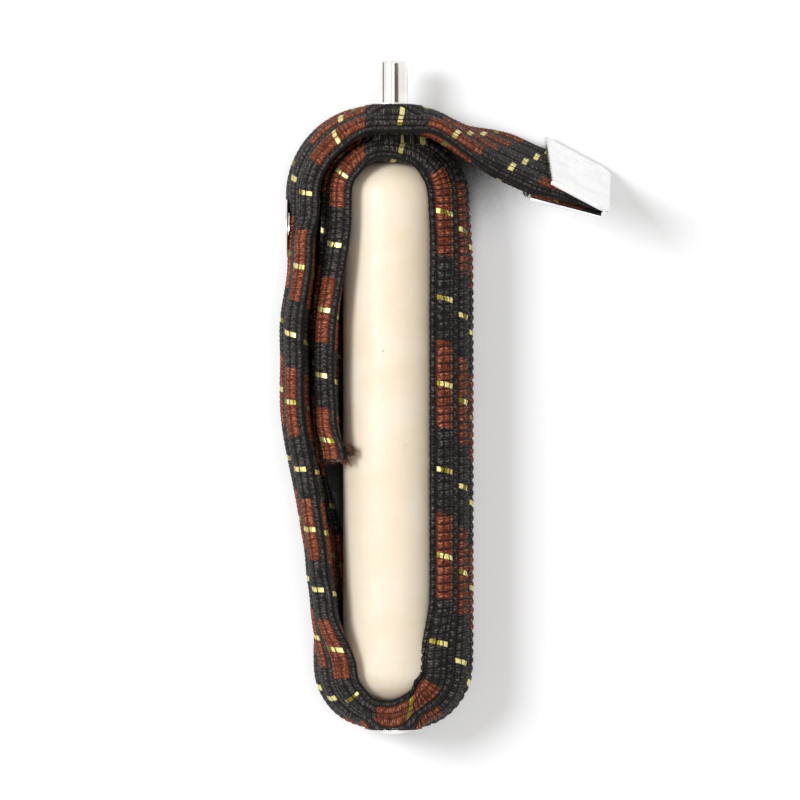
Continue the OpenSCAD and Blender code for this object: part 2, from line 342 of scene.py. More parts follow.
def turned(name, outline, ring=96, hollow=False):
    # a circle is extruded and resized through the outline's radii and heights, along its own Z
    radius, height = outline[0]
    clearSelection()
    bpy.ops.mesh.primitive_circle_add(vertices=ring, radius=radius * mm, location=(0, 0, height * mm),
                                      fill_type="NOTHING" if hollow else "NGON")
    piece = bpy.context.object
    piece.name = name
    bpy.ops.object.transform_apply(location=True, rotation=True, scale=True)
    edit(piece)
    bpy.ops.mesh.select_all(action="SELECT")
    for nextRadius, nextHeight in outline[1:]:
        bpy.ops.mesh.extrude_edges_move(TRANSFORM_OT_translate={"value": (0, 0, (nextHeight - height) * mm)})
        grow = nextRadius / radius
        bpy.ops.transform.resize(value=(grow, grow, 1), center_override=(0, 0, nextHeight * mm))
        radius, height = nextRadius, nextHeight
    if hollow:
        firstRadius, firstHeight = outline[0]
        selectWhere(piece, lambda p: any(
            abs(p.z - z) < 1e-4 and abs(math.hypot(p.x, p.y) - r) < 1e-4
            for r, z in ((firstRadius, firstHeight), (radius, height))))
        bpy.ops.mesh.bridge_edge_loops()
    else:
        bpy.ops.mesh.edge_face_add()
    bpy.ops.mesh.select_all(action="SELECT")
    bpy.ops.mesh.normals_make_consistent(inside=False)
    bpy.ops.object.mode_set(mode="OBJECT")
    return piece


faceAlongY = Matrix.Rotation(math.radians(-90), 4, "X")
faceAgainstY = Matrix.Rotation(math.radians(90), 4, "X")
faceAgainstX = Matrix.Rotation(math.radians(-90), 4, "Y")

rodSizes = {"radius": 1.6, "chamfer": 0.25, "dome": 0.4, "grooveWide": 0.7, "grooveDeep": 0.2, "tipRing": 0.1}


def makeRod():
    radius = rodSizes["radius"]
    grooved = radius - rodSizes["grooveDeep"]
    end, tip = rodLow[1], rodHigh[1]
    dome = [(radius * math.sin(math.radians(a)), end + rodSizes["dome"] * (1 - math.cos(math.radians(a))))
            for a in range(15, 91, 15)]
    outline = dome + [(radius, -rodSizes["grooveWide"]), (grooved, -rodSizes["grooveWide"] - 0.001),
                      (grooved, -0.001), (radius, 0)]
    # a ring near the tip keeps the long faces' normals straight
    outline.append((radius, tip - rodSizes["chamfer"] - rodSizes["tipRing"]))
    outline += bend((radius - rodSizes["chamfer"], tip - rodSizes["chamfer"]), rodSizes["chamfer"], 0, 80, 5)
    piece = turned("rodSteel", outline)
    place(piece, faceAlongY)
    return finish(piece, steel, "roller", ["rod"], smooth=25)


sleeveSizes = {"radius": 5.55, "edge": 3.6, "bore": 1.62}


def makeSleeve():
    radius, edge, bore = sleeveSizes["radius"], sleeveSizes["edge"], sleeveSizes["bore"]
    low, high = sleeveLow[1], sleeveHigh[1]
    outline = [(bore, low)] + bend((radius - edge, low + edge), edge, -90, 0, 14)
    outline += [(radius, low + edge + (high - low - 2 * edge) * i / 8) for i in range(1, 8)]
    outline += bend((radius - edge, high - edge), edge, 0, 90, 14) + [(bore, high)]
    piece = turned("latexSleeve", outline, hollow=True)
    place(piece, faceAlongY)
    return finish(piece, latex, "roller", ["latex_sleeve"], smooth=40)


eyeletSizes = {
    "bore": 1.7,
    "barrel": 2.0,
    "flange": 3.2,
    "rise": 0.25,
    "lip": 0.5,
    "lipRise": 0.12,
    "lipRound": 0.06,
    "mouth": 0.05,  # how far the bore widens at the lip
    "washer": 0.25,
}


def makeEyelet(name, node, matrix, body, material):
    s = eyeletSizes
    foot = -2 * halfThick - s["washer"] - s["lipRise"]
    half = s["rise"] / 2
    outline = [(s["bore"], foot + s["mouth"]), (s["bore"], 0)]
    outline += [(s["bore"] + half - (half * math.cos(a)), s["rise"] - half + half * math.sin(a))
                for a in (0.3, 0.8, 1.3)]
    outline += [(s["bore"] + 3 * half, s["rise"])]
    outline += bend((s["flange"] - half, half), half, 90, -90, 8)
    outline += [(s["barrel"], 0.001), (s["barrel"], foot + s["lipRise"])]
    outline += bend((s["barrel"] + s["lip"] - s["lipRound"], foot + s["lipRound"]), s["lipRound"], 90, -90, 4)
    outline += [(s["bore"] + s["mouth"], foot)]
    piece = turned(name, outline, ring=72, hollow=True)
    place(piece, matrix)
    return finish(piece, material, body, [node], smooth=30)


makeRod()
makeSleeve()
hookSeat = -eyeletSizes["rise"]
innerSeat = innerEyeletHigh[1] - eyeletSizes["rise"]
bottomSeat = bottomLow[1]
spareSeat = Vector((-outerX - halfThick, (spareLow[1] + spareHigh[1]) / 2, 0))
for name, node, seat, facing, body, material in (
        ("hookEyelet", "hook_eyelet", (0, hookSeat, 0), faceAlongY, "hook_end", nickel),
        # the inner eyelet sits in shadow between the layers, so its nickel is painted near black as painted
        # shade
        ("innerEyelet", "inner_eyelet", (0, innerSeat, 0), faceAlongY, "strap_loop", shadowDarkNickel),
        ("bottomEyelet", "bottom_eyelet", (0, bottomSeat, 0), faceAgainstY, "strap_loop", nickel),
        ("spareEyelet", "spare_eyelet", spareSeat, faceAgainstX, "hook_end", nickel)):
    makeEyelet(name, node, Matrix.Translation(Vector(seat) * mm) @ facing, body, material)
# the washers between the layers get the near-black nickel as painted shade
for node, material in (("inner_washer", shadowDarkNickel), ("bottom_washer", nickel), ("hook_washer", shadowDarkNickel),
                       ("spare_washer", shadowDarkNickel)):
    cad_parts[node].data.materials.clear()
    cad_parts[node].data.materials.append(material)
print("rod, sleeve and eyelets made")

# the strap's route: points up the cut run, round the sleeve, up the outer run and down the tail
route = {
    "turnRadius": 5.2,
    "bow": 0.9,
    "bowShare": 0.6,
    "stepIn": 0.35,
    "tailAngle": 25,
    "tailLean": 22,
    "bendLength": 8,
    "flatLength": 4.1,
    "wedgeLength": 6.5,
}
turnX = innerX - route["turnRadius"]
outerRadius = outerX - turnX


def ease(t):
    t = np.clip(t, 0, 1)
    return t * t * (3 - 2 * t)


def arcLine(centre, radius, start, end):
    angles = np.radians(np.linspace(start, end, 60))
    return np.stack([centre[0] + radius * np.cos(angles), centre[1] + radius * np.sin(angles)], axis=1)


def straight(first, last, steps=20):
    return np.linspace(first, last, steps)


def makeRoute():
    u = np.linspace(1, 0, 80)
    bow = route["bow"] * np.sin(np.pi * np.minimum(1, u / route["bowShare"])) ** 2
    outX = -outerX + (outerX - innerX) * ease((u - route["stepIn"]) / (1 - route["stepIn"])) - bow
    outerRun = np.stack([outX, runTopY - u * (runTopY - bottomY)], axis=1)
    angle = math.radians(route["tailAngle"])
    tailStart = np.array([turnX + outerRadius * math.sin(angle), topY + outerRadius * math.cos(angle)])
    tailWay = np.array([math.cos(angle), -math.sin(angle)])
    tailLength = route["bendLength"] + route["flatLength"] + route["wedgeLength"]
    small, large = route["turnRadius"], outerRadius
    stretches = [
        ("cut", straight((-innerX, cutLow[1]), (-innerX, topY))),
        ("topIn", arcLine((-turnX, topY), small, 180, 90)),
        ("topFlat", straight((-turnX, topY + small), (turnX, topY + small))),
        ("topOut", arcLine((turnX, topY), small, 90, 0)),
        ("right", straight((innerX, topY), (innerX, bottomY), 40)),
        ("bottomIn", arcLine((turnX, bottomY), small, 0, -90)),
        ("bottomFlat", straight((turnX, bottomY - small), (-turnX, bottomY - small))),
        ("bottomOut", arcLine((-turnX, bottomY), small, -90, -180)),
        ("outer", outerRun),
        ("spare", straight((-outerX, runTopY), (-outerX, topY))),
        ("hookIn", arcLine((-turnX, topY), large, 180, 90)),
        ("hookFlat", straight((-turnX, topY + large), (turnX, topY + large))),
        ("hookOut", arcLine((turnX, topY), large, 90, 90 - route["tailAngle"])),
        ("tail", straight(tailStart, tailStart + tailWay * tailLength)),
    ]
    points, starts, length = [], {}, 0.0
    for name, line in stretches:
        starts[name] = length
        length += np.linalg.norm(np.diff(line, axis=0), axis=1).sum()
        points.append(line if not points else line[1:])
    points = np.concatenate(points)
    along = np.concatenate([[0], np.cumsum(np.linalg.norm(np.diff(points, axis=0), axis=1))])
    starts["end"] = length
    return points, along, starts, tailStart


routePoints, routeAlong, starts, tailStart = makeRoute()


def keyed(keys, along):  # eases between values set at (place, further, value)
    places = np.array([starts[name] + further for name, further, value in keys])
    values = np.array([value for name, further, value in keys], float)
    index = np.clip(np.searchsorted(places, along, side="right") - 1, 0, len(places) - 2)
    share = ease((along - places[index]) / (places[index + 1] - places[index]))
    return values[index] + share * (values[index + 1] - values[index])


# how the strap stands at places on its route, each with a distance past it in millimetres
stance = {
    "shift": [("cut", 0, 0.75), ("cut", 14, 0.75), ("cut", 27, -0.2), ("topFlat", -2, -0.1),
              ("right", -2, -0.1), ("right", 8, 0.3), ("bottomIn", -2, 0.3), ("bottomIn", 4, 0.05),
              ("bottomFlat", 0, 0), ("bottomOut", 0, 0), ("bottomOut", 5, 0), ("outer", 4, 0.3),
              ("outer", 10, 0.05), ("outer", 14, -0.2), ("outer", 25, 0), ("outer", 33, 0),
              ("outer", 39, 0.5), ("spare", 0, 0.2), ("hookIn", -1, 0.15), ("hookIn", 7, 0.1),
              ("hookFlat", 0, 0), ("hookOut", 0, 0), ("tail", 4, -0.3), ("tail", 11, -0.3),
              ("tail", 15, 0), ("end", 0, 0)],
    "curl": [("cut", 0, 0.10), ("cut", 10, 0.08), ("cut", 26, 0.105), ("topIn", 4, 0.11),
             ("topFlat", 1, 0.05), ("topOut", 4, 0.12), ("right", 6, 0.12), ("bottomIn", -8, 0.12),
             ("bottomIn", -1, 0.19), ("bottomIn", 5, 0.18), ("bottomFlat", 2.5, 0.07),
             ("bottomOut", 4, 0.09), ("outer", 4, 0.10), ("outer", 14, 0.10), ("outer", 25, 0.07),
             ("hookIn", 0, 0.07), ("hookIn", 7, 0.08), ("hookFlat", 0, 0.04), ("hookOut", 0, 0.04),
             ("tail", 0, 0.03), ("tail", 8, 0), ("end", 0, 0)],
    "lean": [("cut", 0, 0.14), ("cut", 4, -0.02), ("cut", 10, -0.04), ("cut", 26, 0.03),
             ("topFlat", 0, 0.03), ("right", 0, 0.18), ("right", 12, 0.28), ("bottomIn", -10, 0.28),
             ("bottomIn", -2, 0.30), ("bottomIn", 5, 0.24), ("bottomFlat", 2.5, 0.11),
             ("bottomOut", 4, 0.22), ("outer", 0, 0.24), ("outer", 7, -0.12), ("outer", 11, -0.16),
             ("outer", 14, -0.16), ("outer", 25, 0), ("outer", 42, 0.02), ("spare", 2, 0.04),
             ("hookIn", -2, 0.16), ("hookIn", 7, 0.18), ("hookFlat", 0, 0.17), ("hookOut", 0, 0.17),
             ("tail", 0, 0.12), ("tail", 8, math.radians(route["tailLean"])),
             ("end", 0, math.radians(route["tailLean"]))],
    "width": [("cut", 0, 0.95), ("topFlat", -4, 1), ("topOut", 4, 1), ("right", 12, 0.92),
              ("bottomIn", -10, 0.92), ("bottomFlat", -2, 1), ("bottomOut", 2, 1), ("outer", 14, 0.96),
              ("outer", 38, 0.96), ("spare", 0, 1), ("end", 0, 1)],
    "half": [("cut", 0, 1.25), ("topFlat", -2, 1.2), ("topOut", 0, 1.2), ("right", 10, 1.15),
             ("bottomIn", -8, 1.15), ("bottomFlat", 0, 1.2), ("bottomOut", 0, 1.2), ("outer", 0, 1.35),
             ("outer", 22, 1.4), ("outer", 38, 1.3), ("spare", 0, 1.2), ("tail", 0, 1.2), ("tail", 7, 1.4),
             ("end", 0, 1.2)],
    # how little the faces close towards the edges
    "full": [("cut", 0, 0), ("tail", 2, 0), ("tail", 9, 0.6), ("end", 0, 0.6)],
    # how far the outermost ribs swell into the space between the strap's two layers
    "puff": [("cut", 0, 0.5), ("cut", 14, 0.7), ("topIn", 0, 0.45), ("topOut", 4, 0.5), ("right", 0, 0.5),
             ("right", 5, 0), ("outer", -5, 0), ("outer", 16, 0), ("outer", 28, 0.7), ("outer", 40, 0.7),
             ("hookIn", 0, 0.45), ("hookOut", 0, 0.45), ("tail", 1, 1.0), ("tail", 7, 0.6), ("tail", 12, 0),
             ("end", 0, 0)],
    "beadHeight": [("cut", 0, 0.07), ("topOut", 0, 0.12), ("right", 4, 0.24), ("bottomIn", 0, 0.22),
                   ("bottomFlat", 0, 0.14), ("outer", 0, 0.07), ("end", 0, 0.08)],
    "beadPitch": [("cut", 0, 0.5), ("topOut", 0, 0.6), ("right", 4, 0.92), ("bottomIn", 0, 0.92),
                  ("bottomFlat", 0, 0.7), ("outer", 0, 0.5), ("end", 0, 0.5)],
    "lift": [("cut", 0, 0), ("tail", 0, 0), ("tail", 8, 0.275), ("end", 0, 0.275)],
    "skew": [("cut", 0, 0), ("tail", 3, 0), ("tail", 12, 0.12), ("end", 0, 0.12)],  # of the clasped end
}
# which foil fleck of the first rib comes where, in the relaxed and the stretched runs
flecks = [("cut", -5, -1), ("cut", 2.1, 0), ("cut", 23.4, 3), ("topFlat", 2.8, 5), ("right", 2.2, 6),
          ("right", 49, 11), ("bottomFlat", 0, 12), ("bottomOut", 4, 13), ("outer", 22.4, 17),
          ("outer", 44.6, 20), ("hookFlat", 2.7, 23), ("tail", 8.5, 25), ("end", 0, 26.6)]

cordCount = 13
lastCord = cordCount - 1
edgeShare = 0.6  # the edge cords are thinner than the others
ribHeight, bandHeight, strandHeight = 0.36, 0.18, 0.07
edgeHalf = 0.30
nose = ((0, 1, 2, 3, 4.5), (0.34, 0.52, 0.88, 0.98, 1))  # the faces close towards the edges


def samplePlaces():
    # places across a face, counted in cords: an edge cord, four ribs of two with a cord between, an edge cord
    edgeCord = [0.5 - 0.5 * math.cos(math.pi * i / 6) for i in range(6)]
    places = list(edgeCord)
    for rib in range(4):
        start = 1 + 3 * rib
        places += [start + 2 * i / 12 for i in range(12)]
        if rib < 3:
            places += [start + 2 + i / 4 for i in range(4)]
    places += [lastCord + cord for cord in edgeCord] + [cordCount]
    return np.array(places)


def faceHeight(cords, half, full, puff, share):
    # share of the half thickness, over the edge cords, the ribs and the cords between them
    rib = (cords - 1) % 3
    onEdge = (cords < 1) | (cords > lastCord)
    fromEdge = np.minimum(cords, cordCount - cords)
    closed = np.interp(fromEdge, *nose)
    base = half * (closed + full * (1 - closed)) - ribHeight
    ribRound = np.sqrt(np.clip(1 - 0.92 * (rib - 1) ** 2, 0, 1))
    strands = np.abs(np.sin(1.5 * np.pi * rib))
    bandRound = np.sqrt(np.clip(1 - 0.9 * (2 * (rib - 2) - 1) ** 2, 0, 1))
    swell = np.where(rib < 2, ribHeight * ribRound + strandHeight * (strands - 1), bandHeight * bandRound)
    height = base + swell
    edgeRound = np.sqrt(np.clip(1 - (1 - 2 * np.minimum(fromEdge, 0.5)) ** 2, 0, 1))
    height = np.where(onEdge, edgeHalf * edgeRound + (base - edgeHalf) * ease(2 * fromEdge - 1), height)
    puff = puff * np.where(cords < cordCount / 2, 0.2, 1)  # mostly at the far edge
    height = height + puff * ease((4.3 - fromEdge) / 1.5) * ease((fromEdge - 0.9) / 0.8)
    return height * share


bed = {
    "depth": 3,  # how far from the seat and from its middle the cloth is pressed
    "reach": 4.9,
    "slope": 0.9,  # how wide and high the slope round a bed is
    "ringSide": 4,  # how far to either side the cloth swells
}


def bedEyelets(points, side):
    # a flange and its washer press flat beds into the strap's faces, and the cloth swells up round the flange
    for centre, axis, swell, notch in eyeletBeds:
        away = points - np.array(centre)
        out = away @ np.array(axis, float)
        across = np.linalg.norm(away - out[..., None] * np.array(axis, float), axis=2)
        room = halfThick + bed["slope"] * ease((across - eyeletSizes["flange"] + 0.1) / bed["slope"])
        near = (np.abs(out) < bed["depth"]) & (across < bed["reach"])
        aside = np.abs(away[..., 0])
        ring = ease((across - eyeletSizes["flange"]) / 0.35) * ease((bed["reach"] - across) / 1.2)
        ring = ring * ease((bed["ringSide"] - aside) / 1.4)
        crest = halfThick + swell - notch * (1 - ease((aside - 0.6) / 1.2))
        raised = np.minimum(out, room) + (ring * np.maximum(crest - out, 0) if swell else 0)
        wanted = np.where(side[None, :] > 0, raised, np.maximum(out, -room))
        move = np.where(near, wanted - out, 0)
        points += move[..., None] * np.array(axis, float)


# each eyelet's seat, the way it faces, how far the cloth swells round it and how much less across its middle
eyeletBeds = [
    ((0, innerSeat - halfThick, 0), (0, 1, 0), 0, 0),
    ((0, bottomSeat + halfThick, 0), (0, -1, 0), 0.08, 0.2),
    ((0, hookSeat - halfThick, 0), (0, 1, 0), 0.02, 0),
    ((-outerX, spareSeat.y, 0), (-1, 0, 0), 0, 0),
]


wayStep = 0.4  # the strap's direction is taken over this distance


def routeAt(along):
    return np.array([np.interp(along, routeAlong, routePoints[:, axis]) for axis in (0, 1)])


def strapRows(along, thinning=None):
    # every point of the strap's skin for each distance along the route, and what the weave needs to know
    cords = samplePlaces()
    ring = np.concatenate([cords, cords[-2:0:-1], cords[:1]])
    side = np.concatenate([np.ones(len(cords)), -np.ones(len(cords) - 2), [1.0]])
    inside = np.concatenate([np.zeros(len(cords)), np.ones(len(cords) - 2), [0.0]])
    now = {name: keyed(keys, along) for name, keys in stance.items()}
    x, y = routeAt(along)
    wayX, wayY = routeAt(along + wayStep) - routeAt(along - wayStep)
    size = np.hypot(wayX, wayY)
    outX, outY = -wayY / size, wayX / size
    column = {name: values[:, None] for name, values in now.items()}
    fullCords = cordCount - 2
    inUnits = np.clip(ring, 0, 1) * edgeShare + np.clip(ring - 1, 0, fullCords)
    inUnits = inUnits + np.clip(ring - lastCord, 0, 1) * edgeShare
    v = (wide / 2 - inUnits * wide / (fullCords + 2 * edgeShare))[None, :] * column["width"]
    half = np.maximum(column["half"], 0.2)
    share = np.ones_like(half) if thinning is None else thinning[0][:, None] / half
    middle = np.zeros_like(half) if thinning is None else thinning[1][:, None]
    gapSide = np.where(along < starts["outer"], 1, -1)[:, None]
    puff = np.where(side[None, :] == gapSide, column["puff"], 0)
    height = faceHeight(ring[None, :], half, column["full"], puff, share)
    # beads, half a step apart on neighbouring cords
    fine = np.linspace(0, starts["end"], 4000)
    beads = np.interp(along, fine, np.cumsum(1 / keyed(stance["beadPitch"], fine)) * (fine[1] - fine[0]))
    rib = (ring - 1) % 3
    onRib = (rib < 2) & (ring > 1) & (ring < lastCord)
    late = np.where(onRib, 0.12 * rib, 0.5)  # the wraps run aslant over a rib
    wraps = beads[:, None] + late[None, :] + 0.3 * inside[None, :]
    bead = np.abs(np.sin(np.pi * wraps)) ** 0.7 - 0.65
    crown = np.where(onRib, np.sin(np.pi * np.clip(rib / 2, 0, 1)) ** 0.35, np.sin(np.pi * (ring % 1)) ** 0.5)
    height = height + column["beadHeight"] * bead * crown[None, :] * share
    turnHalf = column["curl"] * v / 2
    spread = np.sinc(turnHalf / np.pi)
    n = column["shift"] + middle - v * np.sin(column["lean"] + turnHalf) * spread
    z = v * np.cos(column["lean"] + turnHalf) * spread
    face = column["lean"] + column["curl"] * v
    n = n + side[None, :] * height * np.cos(face)
    z = z + side[None, :] * height * np.sin(face)
    z = z - (z.max(axis=1) + z.min(axis=1))[:, None] / 2 + column["lift"]
    ahead = column["skew"] * v
    points = np.stack([(x + outX * n.T + outY * ahead.T).T, (y + outY * n.T - outX * ahead.T).T, z], axis=2)
    bedEyelets(points, side)
    # the pattern moves on a fifth of a block from rib to rib, and back round the near edge
    ribIndex = np.clip(np.floor((ring - 1) / 3), 0, 3)
    acrossRib = np.clip(ring - 1 - 3 * ribIndex, 0, 2) - 1
    shifted = 0.2 * ribIndex + 0.025 * acrossRib
    shifted = np.where(inside > 0, -0.13 - shifted, shifted)
    fleckPlaces = [starts[name] + further for name, further, count in flecks]
    pattern = np.interp(along, fleckPlaces, [count for name, further, count in flecks])
    blockLength = 2 / (np.interp(along + 1, fleckPlaces, [count for name, further, count in flecks])
                       - np.interp(along - 1, fleckPlaces, [count for name, further, count in flecks]))
    weaveValues = np.stack([pattern[:, None] - shifted[None, :],
                            np.broadcast_to(ring[None, :], v.shape),
                            wraps], axis=2)
    blocks = np.broadcast_to(blockLength[:, None], v.shape)
    return points, weaveValues, blocks


def strapPiece(name, first, last, step, holes=(), thinning=None):
    rows = max(2, round((last - first) / step))
    along = np.linspace(first, last, rows + 1)
    points, weaveValues, blocks = strapRows(along, thinning(along) if thinning else None)
    clearSelection()
    bpy.ops.mesh.primitive_grid_add(x_subdivisions=points.shape[1] - 1, y_subdivisions=rows, size=mm)
    piece = bpy.context.object
    piece.name = name
    mesh = piece.data
    mesh.vertices.foreach_set("co", (points * mm).astype(np.float32).ravel())
    own = mesh.attributes.new("weave", "FLOAT_VECTOR", "POINT")
    own.data.foreach_set("vector", weaveValues.astype(np.float32).ravel())
    lengths = mesh.attributes.new("block", "FLOAT", "POINT")
    lengths.data.foreach_set("value", blocks.astype(np.float32).ravel())
    mesh.update()
    edit(piece)
    bpy.ops.mesh.select_all(action="SELECT")
    bpy.ops.mesh.remove_doubles(threshold=2e-6)
    # close both ends
    bpy.ops.mesh.select_mode(type="EDGE")
    bpy.ops.mesh.select_all(action="DESELECT")
    bpy.ops.mesh.select_non_manifold()
    bpy.ops.mesh.fill_holes(sides=0)
    for centre, axis, swell, notch in holes:
        punch(piece, Vector(centre), Vector(axis), eyeletSizes["barrel"] + 0.05)
    bpy.ops.mesh.select_all(action="SELECT")
    bpy.ops.mesh.normals_make_consistent(inside=False)
    bpy.ops.object.mode_set(mode="OBJECT")
    finish(piece, wovenElastic, smooth=75)
    return piece


def punch(piece, centre, axis, radius):  # a hole through both faces, joined by a wall
    bpy.ops.mesh.select_mode(type="FACE")
    bpy.ops.mesh.select_all(action="DESELECT")
    bpy.ops.object.mode_set(mode="OBJECT")
    for face in piece.data.polygons:
        away = face.center / mm - centre
        along = away.dot(axis)
        face.select = abs(along) < 2.2 and (away - axis * along).length < radius
    bpy.ops.object.mode_set(mode="EDIT")
    bpy.ops.mesh.delete(type="FACE")
    bpy.ops.mesh.select_mode(type="EDGE")
    bpy.ops.mesh.select_non_manifold()
    bpy.ops.mesh.bridge_edge_loops()
    bpy.ops.mesh.select_all(action="DESELECT")


def wedgeShape(along):  # half thickness and offset between the clasp's leaves, which close towards the fold
    past = along - (starts["tail"] + route["bendLength"] + route["flatLength"])
    outerSlope, innerSlope, foldX, foldY = claspFold()
    outer = halfThick - np.maximum(past, 0) * math.tan(outerSlope)
    innerMouth = foldX - claspSizes["innerLeaf"] * math.cos(innerSlope)
    inner = -halfThick + np.maximum(past - innerMouth, 0) * math.tan(innerSlope)
    full = keyed(stance["half"], along)
    half = np.minimum(full, (outer - inner) / 2 - claspSizes["slack"])
    return half, np.where(half < full, (outer + inner) / 2, 0)


claspSizes = {
    "width": 12.9,
    "sheet": 0.45,
    "outerLeaf": 7.5,
    "innerLeaf": 8.3,
    "outerSlope": 3,
    "foldRadius": 0.15,
    "teeth": 16,
    "toothDeep": 0.28,
    "edge": 0.07,
    "slack": 0.02,  # between a leaf and the strap
    "slant": 0.5,  # how far the outer mouth's far corner is out, and its near corner in
}


def claspFold():  # the leaves' slopes, and the fold's centre past the outer leaf's mouth
    s = claspSizes
    outerSlope = math.radians(s["outerSlope"])
    foldX = s["outerLeaf"] * math.cos(outerSlope)
    foldY = halfThick - s["foldRadius"] * math.cos(outerSlope) - s["outerLeaf"] * math.sin(outerSlope)
    innerSlope = math.asin((foldY + halfThick - s["foldRadius"]) / s["innerLeaf"])
    return outerSlope, innerSlope, foldX, foldY


loopEnd = starts["outer"]
strapLoop = strapPiece("strapLoop", 0, loopEnd, 0.2, eyeletBeds[:2])
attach(strapLoop, "strap_loop")
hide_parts("strap_cut_run", "strap_inner_turn", "strap_right_run", "strap_bottom_turn")
print("strap loop made", len(strapLoop.data.polygons))

strapOuter = strapPiece("strapOuter", loopEnd, starts["tail"], 0.18, eyeletBeds[2:])
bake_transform(strapOuter)
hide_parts("strap_outer_run", "strap_hook_turn")
print("outer run made", len(strapOuter.data.polygons))

strapTail = strapPiece("strapTail", starts["tail"], starts["end"], 0.16, thinning=wedgeShape)
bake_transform(strapTail)
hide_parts("strap_tail_bend", "strap_tail")
print("tail made", len(strapTail.data.polygons))

# the cut end: rubber cores and frayed threads


def onStrap(along, v, out=0.0):  # a point in the strap, by its distance along, its v and its height
    now = {name: float(keyed(keys, np.array([along]))[0]) for name, keys in stance.items()}
    middle = routeAt(along)
    way = routeAt(along + wayStep) - middle
    way /= np.linalg.norm(way)
    turn = now["lean"] + now["curl"] * v / 2
    n = now["shift"] - v * math.sin(turn) + out
    return Vector((middle[0] - way[1] * n, middle[1] + way[0] * n, v * math.cos(turn)))


def copied(pattern, name):
    made = pattern.copy()
    made.data = pattern.data.copy()
    made.name = name
    bpy.context.collection.objects.link(made)
    return made


def joined(pieces, name):
    clearSelection()
    for piece in pieces:
        piece.select_set(True)
    bpy.context.view_layer.objects.active = pieces[0]
    bpy.ops.object.join()
    pieces[0].name = name
    return pieces[0]


fray = {
    "cores": 9,
    "coreRadius": 0.4,
    "coreLength": 0.35,
    "coreSpread": 0.92,  # share of the strap's width that the cores take up
    "width": 0.95,  # the strap is a little narrower at the cut
    "threads": 190,
    "threadSpread": 0.98,
    "threadRadius": 0.055,
    "veering": 4,  # cords at the near edge whose threads veer towards the sleeve
    "tuftThreads": 150,
    "tuftAlong": 0.85,
    "tuftReach": 1.35,
    "looseThreads": 16,
}


def makeCores():
    radius, length = fray["coreRadius"], fray["coreLength"]
    core = turned("rubberCores", [(radius, -0.3), (radius, length - 0.08), (0.8 * radius, length)], ring=20)
    place(core, faceAgainstY)
    cores = [core] + [copied(core, "core") for i in range(1, fray["cores"])]
    for i, piece in enumerate(cores):
        v = wide * fray["width"] * ((i + 0.5) / fray["cores"] - 0.5) * fray["coreSpread"]
        place(piece, Matrix.Translation(onStrap(0, v) * mm))
    made = joined(cores, "rubberCores")
    return finish(made, rubber, "strap_loop", ["cut_end_cores"], smooth=40)


def makeThreads(name, roots, material, body):
    # each root: where it starts, which way it goes, how it falls aside by its end, and its length
    radius = fray["threadRadius"]
    pattern = turned(name, [(radius * (1 - 0.75 * i / 8), i / 8) for i in range(9)], ring=6)
    threads = []
    for start, way, fall, length in roots:
        thread = copied(pattern, "thread")
        way = Vector(way).normalized()
        aside = way.orthogonal().normalized()
        other = way.cross(aside)
        for vertex in thread.data.vertices:
            x, y, t = vertex.co / mm
            spot = Vector(start) + way * (length * t) + Vector(fall) * t * t + aside * x + other * y
            vertex.co = spot * mm
        threads.append(thread)
    made = joined([pattern] + threads, name)
    edit(made)
    selectWhere(made, lambda p: p.length < 1.2)  # the straight pattern itself
    bpy.ops.mesh.delete(type="VERT")
    bpy.ops.object.mode_set(mode="OBJECT")
    return finish(made, material, body, smooth=60)


def makeFray():
    random.seed(7)
    rust, black = [], []
    for i in range(fray["threads"]):
        v = wide * fray["width"] * (random.random() - 0.5) * fray["threadSpread"]
        out = random.uniform(-0.95, 0.95) * (1 - 0.5 * (2 * abs(v) / wide) ** 3)
        cord = (0.5 - v / (wide * fray["width"])) * (cordCount - 2 + 2 * edgeShare) + 1 - edgeShare
        way = (random.gauss(0.1, 0.35), -1, random.gauss(0, 0.3))
        fall = (random.gauss(0.15, 0.3), random.uniform(-0.1, 0.2), random.gauss(0, 0.2))
        if cord < fray["veering"]:
            way = (random.gauss(0.35, 0.15), -1, random.gauss(0, 0.2))
            fall = (random.gauss(0.45, 0.12), 0.1, 0)
        root = (onStrap(0.25, v, out), way, fall, random.uniform(0.5, 1.25))
        (rust if (cord - 1) % 3 < 2 and 1 < cord < lastCord else black).append(root)
    flare = []
    tuft = onStrap(fray["tuftAlong"], 5.6) + Vector((fray["tuftReach"], 0, -0.3))
    for i in range(fray["tuftThreads"]):
        root = onStrap(random.uniform(0.2, 1.7), random.uniform(3.8, 6.1), random.uniform(-1.0, -0.4))
        way = tuft + Vector([random.gauss(0, 0.22) for axis in range(3)]) - root
        flare.append((root, way, (0, random.gauss(0, 0.15), random.gauss(0, 0.1)),
                      way.length * random.uniform(0.6, 1.05)))
    makeThreads("cutFrayRust", rust, rustThread, "strap_loop")
    makeThreads("cutFrayBlack", black, blackThread, "strap_loop")
    makeThreads("cutFrayFlare", flare, frayedThread, "strap_loop")


def makeLooseThreads():  # a few that stick out of the clasp's mouth
    random.seed(3)
    loose = []
    for i in range(fray["looseThreads"]):
        root = onStrap(starts["tail"] + random.uniform(11.0, 11.7), random.uniform(5.7, 6.2), -0.7)
        way = (random.gauss(-0.3, 0.1), -1, 0.2)
        fall = (random.uniform(0.3, 0.6), random.uniform(0, 0.3), 0.2)
        loose.append((root, way, fall, random.uniform(0.5, 0.8)))
    makeThreads("looseThreads", loose, blackThread, "free_tail")


makeCores()
makeFray()
makeLooseThreads()
print("cut end made")

# the clasp folded over the tail's end


